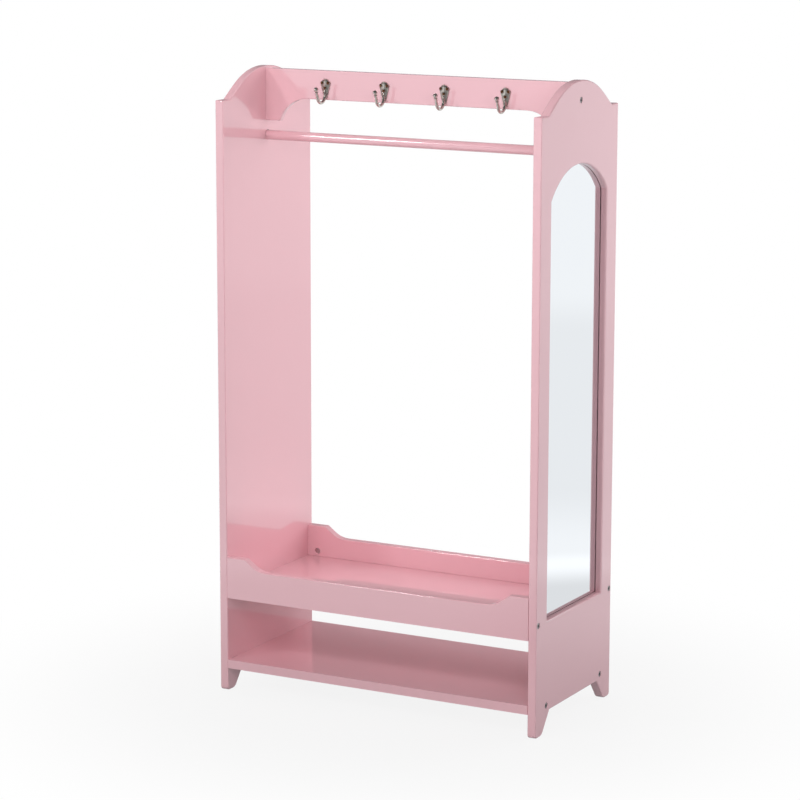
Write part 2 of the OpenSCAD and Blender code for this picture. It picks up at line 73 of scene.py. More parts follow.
COAT_IOR = 2.0  # above the 1.5 of real lacquer, for reflections as strong as the photograph's
WHITE = (1, 1, 1, 1)
LAMPS_FACE = Vector((0, 0, 0.5))  # the point that every soft box is turned to
FLOOR_RADIUS = 9.0
FLOOR_DROP = 0.2 * MM  # keeps the paper clear of the feet
SHADOW_SHARE = 0.12  # share of lit paper in the white floor near the stand, for its faint shadow
DIM_SIDE = (0.474, -0.880, 0)  # level direction to the dim side of the studio
DIM_EDGE = (0.72, 0.99)  # cosine of the angle to it over which the studio dims
DIM_SHARE = 0.7  # share of the reflected light that is missing there

# Bands of the floor, in metres from the middle of the stand; in reflections they are painted light and
# shade
DIM_STARTS = (0.3, 0.8)
SHADE_FADES = (0.3, 0.9)
RING_RISES = (1.0, 1.19)
RING_FALLS = (1.2, 1.3)
RING_ENDS = (1.3, 1.9)
FAR_FLOOR = (3.9, 4.7)
HORIZON = (-0.06, 0.14)  # height of a ray's direction over which the room above gets darker


# ---------------------------------------------------------------- settings


class StandSizes(bpy.types.PropertyGroup):
    """Sizes of the details that the CAD model leaves to the looks."""

    panel_round: bpy.props.FloatProperty(
        name="Panel edge radius",
        description="Radius sanded on the outline of the side panels",
        default=2.0 * MM, min=0.2 * MM, max=3.5 * MM, unit="LENGTH", precision=4,
    )
    window_round: bpy.props.FloatProperty(
        name="Window rim radius",
        description="Radius on the outer rim of the mirror's window",
        default=3.2 * MM, min=0.2 * MM, max=3.5 * MM, unit="LENGTH", precision=4,
    )
    board_round: bpy.props.FloatProperty(
        name="Board edge radius",
        description="Radius on the long edges of the rails and the shelf",
        default=1.8 * MM, min=0.2 * MM, max=3.5 * MM, unit="LENGTH", precision=4,
    )
    seam: bpy.props.FloatProperty(
        name="Seam",
        description="Fine bevel at joints, holes and screw seats",
        default=0.3 * MM, min=0.05 * MM, max=0.6 * MM, unit="LENGTH", precision=5,
    )
    metal_round: bpy.props.FloatProperty(
        name="Metal edge radius",
        description="Radius on the edges of bolts, nuts and screws",
        default=0.3 * MM, min=0.05 * MM, max=0.4 * MM, unit="LENGTH", precision=5,
    )
    glass_depth: bpy.props.FloatProperty(
        name="Mirror depth",
        description="How far behind the lip the silvering seems to lie through the glass",
        default=0.8 * MM, min=0.0, max=1.5 * MM, unit="LENGTH", precision=5,
    )


class StandHooks(bpy.types.PropertyGroup):
    """Shape of a coat hook: a crowned shield with a border, and a prong bent forwards and up."""

    plate_low: bpy.props.FloatProperty(
        name="Plate's tip", description="Height of the plate's lower tip above the floor",
        default=1009.0 * MM, unit="LENGTH", precision=4,
    )
    plate_height: bpy.props.FloatProperty(
        name="Plate height", description="Height of the plate",
        default=34.0 * MM, min=30 * MM, max=38 * MM, unit="LENGTH", precision=4,
    )
    plate_width: bpy.props.FloatProperty(
        name="Plate width", description="Widest width of the plate, beside its upper screws",
        default=17.6 * MM, min=15 * MM, max=20 * MM, unit="LENGTH", precision=4,
    )
    thickness: bpy.props.FloatProperty(
        name="Plate thickness", description="Thickness of the plate along its ridge",
        default=4.2 * MM, min=3.4 * MM, max=5 * MM, unit="LENGTH", precision=4,
    )
    edge: bpy.props.FloatProperty(
        name="Plate's edge", description="Thickness of the plate at its border",
        default=1.9 * MM, min=1 * MM, max=3 * MM, unit="LENGTH", precision=4,
    )
    border: bpy.props.FloatProperty(
        name="Border", description="Height of the raised border and of the bosses round the screws",
        default=0.5 * MM, min=0.1 * MM, max=1 * MM, unit="LENGTH", precision=5,
    )
    screw_x: bpy.props.FloatProperty(
        name="Upper screws", description="Distance of the upper screws from the middle",
        default=5.8 * MM, unit="LENGTH", precision=4,
    )
    screw_low: bpy.props.FloatProperty(
        name="Lower screw", description="Height of the lower screw above the plate's tip",
        default=18.5 * MM, unit="LENGTH", precision=4,
    )
    screw_high: bpy.props.FloatProperty(
        name="Upper screws' height", description="Height of the upper screws above the plate's tip",
        default=27.1 * MM, unit="LENGTH", precision=4,
    )
    seat: bpy.props.FloatProperty(
        name="Screw seat", description="Depth of the screws' seats in front of the plate's back",
        default=3.6 * MM, unit="LENGTH", precision=4,
    )
    prong: bpy.props.FloatProperty(
        name="Prong radius", description="Radius of the prong at its bend",
        default=2.7 * MM, min=2 * MM, max=3.2 * MM, unit="LENGTH", precision=4,
    )
    bend: bpy.props.FloatVectorProperty(
        name="Bend", description="Middle of the prong's bend, along the depth and above the floor",
        default=(0, -21.75 * MM, 1016.1 * MM), subtype="TRANSLATION", unit="LENGTH", precision=4,
    )
    bend_radius: bpy.props.FloatProperty(
        name="Bend radius", description="Radius of the prong's bend",
        default=12.6 * MM, unit="LENGTH", precision=4,
    )
    lean: bpy.props.FloatProperty(
        name="Lean", description="How far the prong's tip leans forwards",
        default=math.radians(20), subtype="ANGLE",
    )
    reach: bpy.props.FloatProperty(
        name="Reach", description="Length of the prong from its bend to its ball",
        default=16.0 * MM, unit="LENGTH", precision=4,
    )
    ball: bpy.props.FloatProperty(
        name="Ball radius", description="Radius of the ball on the prong",
        default=4.0 * MM, min=3 * MM, max=5 * MM, unit="LENGTH", precision=4,
    )


class StandColours(bpy.types.PropertyGroup):
    """Colours of the stand's finishes."""

    lacquer: bpy.props.FloatVectorProperty(
        name="Lacquer",
        description="Colour of the sprayed lacquer on the boards and the rod",
        subtype="COLOR", size=3, min=0, max=1, default=(0.87, 0.49, 0.545),
    )
    mirror: bpy.props.FloatVectorProperty(
        name="Mirror",
        description="Tint of the mirror's silvering",
        subtype="COLOR", size=3, min=0, max=1, default=(0.875, 0.889, 0.903),
    )
    hooks: bpy.props.FloatVectorProperty(
        name="Hooks",
        description="Colour of the hooks' satin nickel",
        subtype="COLOR", size=3, min=0, max=1, default=(0.62, 0.59, 0.54),
    )
    patina: bpy.props.FloatVectorProperty(
        name="Patina",
        description="Dark colour left in the hollows of the hooks",
        subtype="COLOR", size=3, min=0, max=1, default=(0.17, 0.13, 0.10),
    )
    hook_screws: bpy.props.FloatVectorProperty(
        name="Hook screws",
        description="Colour of the bronzed screws in the hooks",
        subtype="COLOR", size=3, min=0, max=1, default=(0.20, 0.095, 0.045),
    )
    bolts: bpy.props.FloatVectorProperty(
        name="Bolts",
        description="Colour of the joining bolts",
        subtype="COLOR", size=3, min=0, max=1, default=(0.34, 0.32, 0.32),
    )
    zinc: bpy.props.FloatVectorProperty(
        name="Zinc",
        description="Colour of the zinc plated nuts and screws",
        subtype="COLOR", size=3, min=0, max=1, default=(0.66, 0.66, 0.66),
    )
    beech: bpy.props.FloatVectorProperty(
        name="Beech",
        description="Colour of the locating dowels",
        subtype="COLOR", size=3, min=0, max=1, default=(0.62, 0.42, 0.24),
    )


class StandStudio(bpy.types.PropertyGroup):
    """Camera, lamps and floor."""

    azimuth: bpy.props.FloatProperty(
        name="Azimuth", description="Camera's turn round the stand, from the front",
        default=math.radians(28.29), subtype="ANGLE",
    )
    elevation: bpy.props.FloatProperty(
        name="Elevation", description="Camera's height angle",
        default=math.radians(11.016), subtype="ANGLE",
    )
    roll: bpy.props.FloatProperty(
        name="Roll", description="Camera's tilt about its own axis",
        default=math.radians(0.111), subtype="ANGLE",
    )
    distance: bpy.props.FloatProperty(
        name="Distance", description="Camera's distance from its target",
        default=5.1658, min=1, unit="LENGTH",
    )
    target: bpy.props.FloatVectorProperty(
        name="Target", description="Point that the camera looks at",
        default=(-0.07965, 0.09378, 0.4864), subtype="TRANSLATION", unit="LENGTH",
    )
    lens: bpy.props.FloatProperty(
        name="Lens", description="Focal length of the camera in millimetres",
        default=134.892, min=20, unit="CAMERA",
    )
    key_light: bpy.props.FloatProperty(
        name="Key light", description="Power of the small soft box before and left of the stand",
        default=10, min=0,
    )
    top_light: bpy.props.FloatProperty(
        name="Top light", description="Power of the soft box close overhead", default=1.5, min=0,
    )
    front_light: bpy.props.FloatProperty(
        name="Front light", description="Power of the soft box before the stand", default=17.5, min=0,
    )
    fill_light: bpy.props.FloatProperty(
        name="Fill light", description="Power of the soft box at the right front", default=8.5, min=0,
    )
    side_light: bpy.props.FloatProperty(
        name="Side light", description="Power of the soft box at the right rear", default=14, min=0,
    )
    left_light: bpy.props.FloatProperty(
        name="Left light", description="Power of the soft box left of the stand", default=16, min=0,
    )
    back_light: bpy.props.FloatProperty(
        name="Back lights", description="Power of each of the two soft boxes behind the stand",
        default=14, min=0,
    )
    ambient: bpy.props.FloatProperty(
        name="Ambient", description="Strength of the even light from all round", default=0.25, min=0,
    )
    upper: bpy.props.FloatProperty(
        name="Upper room", description="How bright the room above the floor shows in reflections",
        default=0.14, min=0, max=1,
    )
    far: bpy.props.FloatVectorProperty(
        name="Far room", description="Colour that the floor and walls show in reflections",
        subtype="COLOR", size=3, min=0, max=1, default=(0.912, 0.931, 0.95),
    )
    room: bpy.props.FloatProperty(
        name="Room", description="How bright the floor and walls show in reflections", default=1.08, min=0,
    )
    floor: bpy.props.FloatVectorProperty(
        name="Floor", description="Colour of the floor as it lights the stand",
        subtype="COLOR", size=3, min=0, max=1, default=(0.4, 0.4, 0.4),
    )


# ---------------------------------------------------------------- materials


class Socket:
    """An output of a shader node. Sums, products and quotients add the Math nodes they need."""

    def __init__(self, shader, output):
        self.shader = shader
        self.output = output

    def _math(self, operation, *values):
        return self.shader.node("ShaderNodeMath", {"operation": operation}, dict(enumerate(values)))

    def __add__(self, other):
        return self._math("ADD", self, other)

    def __sub__(self, other):
        return self._math("SUBTRACT", self, other)

    def __rsub__(self, other):
        return self._math("SUBTRACT", other, self)

    def __mul__(self, other):
        return self._math("MULTIPLY", self, other)

    def __truediv__(self, other):
        return self._math("DIVIDE", self, other)

    __radd__ = __add__
    __rmul__ = __mul__

    def highest(self, other):
        return self._math("MAXIMUM", self, other)

    def step(self, start, end):
        """0 below start, 1 above end, and a smooth rise between them."""
        return self.shader.node(
            "ShaderNodeMapRange", {"interpolation_type": "SMOOTHSTEP"},
            {"Value": self, "From Min": start, "From Max": end},
        )


class Shader:
    """A node tree that is written as expressions."""

    def __init__(self, tree):
        tree.nodes.clear()
        self.tree = tree

    def node(self, kind, settings=None, sockets=None, out=0):
        """Adds a node: its settings first, then the value or link of each socket."""
        made = self.tree.nodes.new(kind)
        for key, value in (settings or {}).items():
            setattr(made, key, value)
        for key, value in (sockets or {}).items():
            if isinstance(value, Socket):
                self.tree.links.new(value.output, made.inputs[key])
            else:
                made.inputs[key].default_value = value
        return Socket(self, made.outputs[out]) if len(made.outputs) else made

    def mix(self, a, b, factor):
        """Colour a where factor is 0 and b where it is 1."""
        return self.node("ShaderNodeMix", {"data_type": "RGBA"}, {0: factor, 6: a, 7: b}, out=2)

    def place(self, scale=(1, 1, 1)):
        """The point on the piece, in metres, stretched by scale."""
        point = self.node("ShaderNodeTexCoord", out="Object")
        return self.node("ShaderNodeMapping", {"vector_type": "POINT"}, {"Vector": point, "Scale": scale})

    def noise(self, point, scale, detail=2.0, roughness=0.5):
        """Noise from 0 to 1 with scale waves a metre."""
        return self.node(
            "ShaderNodeTexNoise", {"noise_dimensions": "3D"},
            {"Vector": point, "Scale": scale, "Detail": detail, "Roughness": roughness},
        )

    def bump(self, height, distance, strength=1.0):
        return self.node(
            "ShaderNodeBump", {}, {"Height": height, "Distance": distance, "Strength": strength}
        )

    def surface(self, sockets):
        """Ends a material in one Principled shader."""
        shader = self.node("ShaderNodeBsdfPrincipled", {}, sockets)
        self.node("ShaderNodeOutputMaterial", {}, {"Surface": shader})


def rgba(colour, share=1.0):
    """A colour, or a share of its brightness, as four numbers."""
    return (*(min(1.0, part * share) for part in colour), 1.0)


def material(name, paint, colour, *more):
    """The finish of that name, painted when it is first asked for."""
    found = bpy.data.materials.get(f"{name}_finish")
    if found is None:
        found = bpy.data.materials.new(f"{name}_finish")
        found.use_nodes = True
        found.diffuse_color = rgba(colour)
        paint(Shader(found.node_tree), colour, *more)
    return found


def paint_lacquer(s, colour, grain=(1, 1, 1), coat_roughness=0.05):
    """Lacquer under a clear coat: faint drift of tone, orange peel, duller on the boards' edges."""
    point = s.place()
    drift = s.noise(point, 3.5, 3)
    peel = s.noise(s.place(grain), 420, 2, 0.55)
    film = s.noise(point, 38, 3)
    edge = s.node("ShaderNodeAttribute", {"attribute_name": "board_edge"}, out="Fac")
    tone = s.mix(rgba(colour, 0.975), rgba(colour, 1.02), drift)
    tone = s.mix(tone, rgba(colour, 0.96), edge * film.step(0.3, 0.8) * 0.5)
    s.surface({
        "Base Color": tone,
        "Roughness": 0.45 + 0.1 * film + 0.1 * edge,
        "Coat Weight": 1.0 - 0.75 * edge,
        "Coat Roughness": coat_roughness,
        "Coat IOR": COAT_IOR,
        "IOR": 1.48,
        "Normal": s.bump(peel + 0.5 * edge * s.noise(point, 1500, 2), 0.02 * MM),
    })


def paint_metal(s, colour, hollow, roughness=0.28):
    """Cast or plated metal, darker in the hollows and in fine flecks."""
    point = s.place()
    fleck = s.noise(point, 900, 4, 0.6)
    cloud = s.noise(point, 160, 3)
    low = s.node("ShaderNodeAttribute", {"attribute_name": "hollow"}, out="Fac")
    stain = (low * (0.55 + 0.6 * cloud) + 0.35 * fleck.step(0.55, 0.75)).highest(0)
    s.surface({
        "Base Color": s.mix(rgba(colour), rgba(hollow), stain),
        "Metallic": 1.0,
        "Roughness": roughness + 0.25 * low + 0.14 * cloud,
        "Normal": s.bump(fleck, 0.03 * MM, 0.6),
    })


def paint_mirror(s, colour):
    """Silvered glass with the faintest haze."""
    haze = s.noise(s.place(), 9, 4, 0.6)
    s.surface({
        "Base Color": rgba(colour),
        "Metallic": 1.0,
        "Roughness": 0.012 * haze.step(0.5, 0.9),
    })


def paint_beech(s, colour):
    """Beech turned along its grain, with short dark flecks."""
    long_grain = s.place((0.06, 1, 1))
    grain = s.noise(long_grain, 900, 4, 0.6)
    fleck = s.noise(s.place((0.15, 1, 1)), 2200, 1).step(0.62, 0.7)
    tone = s.mix(rgba(colour, 0.85), rgba(colour, 1.12), grain)
    s.surface({
        "Base Color": s.mix(tone, rgba(colour, 0.6), 0.5 * fleck),
        "Roughness": 0.6 + 0.1 * grain,
        "Normal": s.bump(grain, 0.05 * MM),
    })


def lacquer(context, name="pink_lacquer", *more):
    return material(name, paint_lacquer, context.scene.stand_colours.lacquer, *more)


# ---------------------------------------------------------------- shapes


def merged(node):
    """A bmesh of a CAD node with its loose triangles joined into whole faces."""
    bm = bmesh.new()
    bm.from_mesh(CAD_NODES[node].data)
    bmesh.ops.remove_doubles(bm, verts=bm.verts, dist=WELD)
    bmesh.ops.dissolve_limit(bm, angle_limit=FLAT, verts=bm.verts, edges=bm.edges)
    return bm


def turns(edge):
    """Whether an edge is a real one."""
    return len(edge.link_faces) == 2 and edge.calc_face_angle() > SHARP


def rims(bm):
    """The sharp edges, in groups that hang together."""
    left = {edge for edge in bm.edges if turns(edge)}
    groups = []
    while left:
        group, reach = [], [left.pop()]
        while reach:
            edge = reach.pop()
            group.append(edge)
            for corner in edge.verts:
                for other in corner.link_edges:
                    if other in left:
                        left.remove(other)
                        reach.append(other)
        groups.append(group)
    return groups


def length_of(edges):
    """Diagonal of the box round these edges."""
    corners = [vert.co for edge in edges for vert in edge.verts]
    low = Vector(map(min, zip(*corners)))
    high = Vector(map(max, zip(*corners)))
    return (high - low).length


def edges_where(edges, *tests):
    """The edges both of whose ends pass one of these tests."""
    return [
        edge for edge in edges
        if all(any(test(vert.co) for test in tests) for vert in edge.verts)
    ]


def at_outside(p):
    """Whether a point lies on a side panel's outer face."""
    return abs(p.x) > PANEL_OUTSIDE - WELD


def at_inside(p):
    """Whether a point lies on a side panel's inner face."""
    return abs(p.x) < PANEL_INSIDE + WELD


def round_over(bm, edges, radius, segments=3):
    """Rounds edges and gives back the new faces."""
    return bmesh.ops.bevel(
        bm, geom=list(edges), offset=radius, offset_type="OFFSET", segments=segments,
        profile=0.5, affect="EDGES", clamp_overlap=False, material=-1,
    )["faces"]


def mark_edges(bm, faces):
    """Marks the faces whose lacquer lies on a board's cut edge."""
    layer = bm.faces.layers.float.new("board_edge")
    for face in faces:
        if face.is_valid:
            face[layer] = 1.0


def piece(bm, name, finish, nodes, body="stand", smooth=SHARP):
    """Makes the bmesh a piece that stands for those CAD nodes and rides on a body."""
    mesh = bpy.data.meshes.new(name)
    bm.to_mesh(mesh)
    bm.free()
    mesh.shade_smooth()
    mesh.set_sharp_from_angle(angle=smooth)
    mesh.materials.append(finish)
    made = bpy.data.objects.new(name, mesh)
    bpy.context.scene.collection.objects.link(made)
    shading = made.modifiers.new("Even shading", "WEIGHTED_NORMAL")
    shading.keep_sharp = True
    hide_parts(*nodes)
    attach(made, body)


def cut_faces(bm, axis):
    """The faces that don't lie flat on the board's two broad sides."""
    return [face for face in bm.faces if abs(face.normal[axis]) < BROAD]


# ---------------------------------------------------------------- pieces


class STAND_OT_side_panels(bpy.types.Operator):
    """Dress the side panels: outline and window rounded over, bolt seats and the rod's hole softened"""

    bl_idname = "stand.side_panels"
    bl_label = "Side Panels"

    def execute(self, context):
        sizes = context.scene.stand_sizes
        for side in ("left", "right"):
            bm = merged(f"side_panel_{side}")
            outline, window, small = [], [], []
            for group in rims(bm):
                if length_of(group) < RIM_SIZE:
                    small += group
                elif length_of(group) > OUTLINE_SIZE:
                    outline += group
                else:
                    window += group
            rim = edges_where(window, at_outside)
            rebate = edges_where(window, at_inside)
            mouths = edges_where(small, at_outside, at_inside)
            round_over(bm, outline, sizes.panel_round)
            round_over(bm, rim, sizes.window_round)
            round_over(bm, [edge for edge in rebate + mouths if edge.is_valid], sizes.seam, 2)
            mark_edges(bm, cut_faces(bm, 0))
            piece(bm, f"panel_{side}", lacquer(context), [f"side_panel_{side}"])
        return {"FINISHED"}


class STAND_OT_boards(bpy.types.Operator):
    """Dress the hook rail, the tray and the shelf: long edges rounded over, ends square to the panels"""

    bl_idname = "stand.boards"
    bl_label = "Rails, Tray and Shelf"

    def execute(self, context):
        sizes = context.scene.stand_sizes
        for node, axis in (
            ("hook_rail", 1), ("tray_front_rail", 1), ("tray_back_rail", 1),
            ("tray_board", 2), ("bottom_shelf", 2),
        ):
            bm = merged(node)
            low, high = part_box(node)

            def at_end(p):
                return abs(p.x) > PANEL_INSIDE - WELD

            def in_groove(p):
                grooved = node in ("tray_front_rail", "tray_back_rail")
                return grooved and TRAY_BOARD_LOW - MM < p.z < TRAY_BOARD_HIGH + MM

            def on_surface(p):
                return min(abs(p[axis] - low[axis]), abs(p[axis] - high[axis])) < WELD

            outline, small = [], []
            for group in rims(bm):
                (small if length_of(group) < RIM_SIZE else outline).extend(group)
            kept = {*edges_where(outline, at_end), *edges_where(outline, in_groove)}
            radius = sizes.seam if node == "tray_board" else sizes.board_round
            surface = edges_where(small, on_surface)
            round_over(bm, [edge for edge in outline if edge not in kept], radius)
            round_over(bm, surface, sizes.seam, 2)
            mark_edges(bm, cut_faces(bm, axis))
            piece(bm, f"board_{node}", lacquer(context), [node])
        return {"FINISHED"}


class STAND_OT_rod(bpy.types.Operator):
    """Turn the hanging rod, eased at both ends and lacquered along its grain"""

    bl_idname = "stand.rod"
    bl_label = "Hanging Rod"

    def execute(self, context):
        low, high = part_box("hanging_rod")
        radius = (high.z - low.z) / 2
        bm = bmesh.new()
        bmesh.ops.create_cone(
            bm, cap_ends=True, segments=72, radius1=radius, radius2=radius, depth=high.x - low.x,
            matrix=Matrix.Translation((low + high) / 2) @ Matrix.Rotation(math.pi / 2, 4, "Y"),
        )
        round_over(bm, [edge for edge in bm.edges if turns(edge)], ROD_ROUND)
        finish = lacquer(context, "pink_lacquer_on_rod", (0.05, 1, 1), 0.12)
        piece(bm, "rod", finish, ["hanging_rod"], body="rod")
        return {"FINISHED"}


class STAND_OT_mirror(bpy.types.Operator):
    """Silver the mirror and paint its backing board"""

    bl_idname = "stand.mirror"
    bl_label = "Mirror"

    def execute(self, context):
        scene = context.scene
        bm = merged("mirror_sheet")
        front = [vert for vert in bm.verts if vert.co.x > (MIRROR_FRONT + MIRROR_BACK) / 2]
        bmesh.ops.translate(bm, verts=front, vec=(-scene.stand_sizes.glass_depth, 0, 0))
        finish = material("mirror_glass", paint_mirror, scene.stand_colours.mirror)
        piece(bm, "mirror", finish, ["mirror_sheet"])

        bm = merged("mirror_backing")
        rim = edges_where([edge for group in rims(bm) for edge in group], at_inside)
        round_over(bm, rim, scene.stand_sizes.seam, 2)
        mark_edges(bm, cut_faces(bm, 0))
        piece(bm, "backing_board", lacquer(context), ["mirror_backing"])
        return {"FINISHED"}


def swell(low, high, value):
    """0 below low, 1 above high, and an S curve between them."""
    share = min(1.0, max(0.0, (value - low) / (high - low)))
    return share * share * (3 - 2 * share)


def shield_width(share):
    """Half width of the shield at a share of its height, as a part of its widest half width."""
    tip = 0.26 * math.sqrt(swell(0, 0.14, share))
    body = 0.74 * swell(-0.12, 0.92, share)
    crown = 0.42 * swell(0.80, 1.0, share)
    return 0.04 + tip + body - crown


def shield_front(hook, across, up):
    """How far the plate's front stands before its back, and how deep that point lies in a hollow.

    across runs from -1 to 1 over the plate's width and up is the height above its tip.
    """
    crown = hook.edge + (hook.thickness - hook.edge) * (1 - abs(across) ** 1.15)
    share = up / hook.plate_height
    rim = max(swell(0.74, 0.86, abs(across)), swell(0.93, 0.97, share))
    front = crown + hook.border * (rim - 1)
    hollow = (1 - rim) * max(swell(0.55, 0.78, abs(across)), swell(0.86, 0.94, share))
    half = hook.plate_width / 2 * shield_width(share)
    for x, z in ((-hook.screw_x, hook.screw_high), (hook.screw_x, hook.screw_high), (0, hook.screw_low)):
        away = math.hypot(across * half - x, up - z)
        boss = 1 - swell(*BOSS, away)
        front += (hook.seat - front) * boss
        hollow = max(hollow, (1 - boss) * (1 - swell(*BOSS_HOLLOW, away)))
    return front, hollow


def cast_plate(bm, hook, middle, back):
    """Adds a hook's plate, with its back flat on the rail."""
    layer = bm.verts.layers.float.get("hollow") or bm.verts.layers.float.new("hollow")
    grid = bmesh.ops.create_grid(bm, x_segments=40, y_segments=64, size=1.0)["verts"]
    for vert in grid:
        across, share = vert.co.x, (vert.co.y + 1) / 2
        half = hook.plate_width / 2 * shield_width(share)
        crest = 0.02 * (math.cos(3 * math.pi * across) - 1) - 0.075 * across * across
        up = hook.plate_height * share * (1 + crest * share ** 8)
        front, vert[layer] = shield_front(hook, across, hook.plate_height * share)
        vert.co = (middle + across * half, back - front, hook.plate_low + up)
    front_faces = {face for vert in grid for face in vert.link_faces}
    border = [edge for face in front_faces for edge in face.edges if edge.is_boundary]
    side = bmesh.ops.extrude_edge_only(bm, edges=list(dict.fromkeys(border)))["geom"]
    for vert in side:
        if isinstance(vert, bmesh.types.BMVert):
            vert.co.y = back
    rear = [edge for edge in side if isinstance(edge, bmesh.types.BMEdge) and edge.is_boundary]
    bmesh.ops.edgeloop_fill(bm, edges=rear)


def prong_stations(hook):
    """Places along the prong from its rib up the plate to its ball: point, direction and radius."""
    bend = Vector(hook.bend)
    root = bend + Vector((0, hook.bend_radius, 0))
    down = Vector((0, 0, -1))
    stations = [
        (root - down * rise, down, hook.prong * thick)
        for rise, thick in ((8.5 * MM, 0.3), (7 * MM, 0.5), (5 * MM, 0.72), (2.5 * MM, 0.9))
    ]
    steps = 26
    for step in range(steps + 1):
        turn = (math.pi - hook.lean) * step / steps
        out = Vector((0, math.cos(turn), -math.sin(turn)))
        along = Vector((0, -math.sin(turn), -math.cos(turn)))
        stations.append((bend + out * hook.bend_radius, along, hook.prong))
    start, along, _ = stations[-1]
    collar = hook.reach - hook.ball - 0.4 * MM
    for reach, thick in (
        (0.25 * collar, 0.97), (0.6 * collar, 0.88), (collar - 1.3 * MM, 0.8), (collar - 0.9 * MM, 1.05),
        (collar - 0.45 * MM, 1.14), (collar, 1.05), (collar + 0.4 * MM, 0.78), (hook.reach, 0.7),
    ):
        stations.append((start + along * reach, along, hook.prong * thick))
    return stations


def cast_prong(bm, hook, middle):
    """Adds a hook's prong, rib, collar and ball."""
    ring = None
    stations = prong_stations(hook)
    for place, (point, along, radius) in enumerate(stations):
        turned = along.to_track_quat("Z", "X").to_matrix().to_4x4()
        matrix = Matrix.Translation(point + Vector((middle, 0, 0))) @ turned
        at_end = place in (0, len(stations) - 1)
        made = bmesh.ops.create_circle(
            bm, cap_ends=at_end, segments=24, radius=radius, matrix=matrix
        )["verts"]
        loop = list({edge for vert in made for edge in vert.link_edges})
        if ring:
            bmesh.ops.bridge_loops(bm, edges=ring + loop)
        ring = loop
    tip = stations[-1][0] + Vector((middle, 0, 0))
    bmesh.ops.create_uvsphere(
        bm, u_segments=32, v_segments=20, radius=hook.ball, matrix=Matrix.Translation(tip)
    )


class STAND_OT_hooks(bpy.types.Operator):
    """Cast the coat hooks: bordered shield, bosses round the screws, prong, collar and ball"""

    bl_idname = "stand.hooks"
    bl_label = "Coat Hooks"

    def execute(self, context):
        scene = context.scene
        hook = scene.stand_hooks
        colours = scene.stand_colours
        nickel = material("hook_metal", paint_metal, colours.hooks, colours.patina, 0.2)
        for node in ("hook_1", "hook_2", "hook_3", "hook_4"):
            low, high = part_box(node)
            middle, back = (low.x + high.x) / 2, high.y
            bm = bmesh.new()
            cast_plate(bm, hook, middle, back)
            cast_prong(bm, hook, middle)
            bmesh.ops.recalc_face_normals(bm, faces=bm.faces)
            piece(bm, f"coat-{node}", nickel, [node], smooth=math.radians(50))
        return {"FINISHED"}


class STAND_OT_fastenings(bpy.types.Operator):
    """Finish the bolts, nuts, screws and dowels"""

    bl_idname = "stand.fastenings"
    bl_label = "Fastenings"

    def execute(self, context):
        colours = context.scene.stand_colours
        bolt_steel = material("bolt_steel", paint_metal, colours.bolts, colours.patina, 0.3)
        zinc = material("nut_zinc", paint_metal, colours.zinc, colours.bolts, 0.34)
        screw_zinc = material("zinc_screw", paint_metal, colours.zinc, colours.bolts, 0.28)
        bronze = material("bronzed_screw", paint_metal, colours.hook_screws, colours.patina, 0.3)
        beech = material("dowel_beech", paint_beech, colours.beech)
        for node, finish in (
            ("rail_bolts", bolt_steel), ("tray_bolts", bolt_steel), ("shelf_bolts", bolt_steel),
            ("rail_nuts", zinc), ("tray_nuts", zinc), ("shelf_nuts", zinc),
            ("mirror_backing_screws", screw_zinc), ("hook_screws", bronze),
            ("rail_dowels", beech), ("tray_dowels", beech), ("shelf_dowels", beech),
        ):
            bm = merged(node)
            small = finish in (screw_zinc, bronze)
            radius = context.scene.stand_sizes.metal_round * (SCREW_SHARE if small else 1)
            round_over(bm, [edge for edge in bm.edges if turns(edge)], radius, 2)
            piece(bm, node.replace("_", "-"), finish, [node])
        return {"FINISHED"}


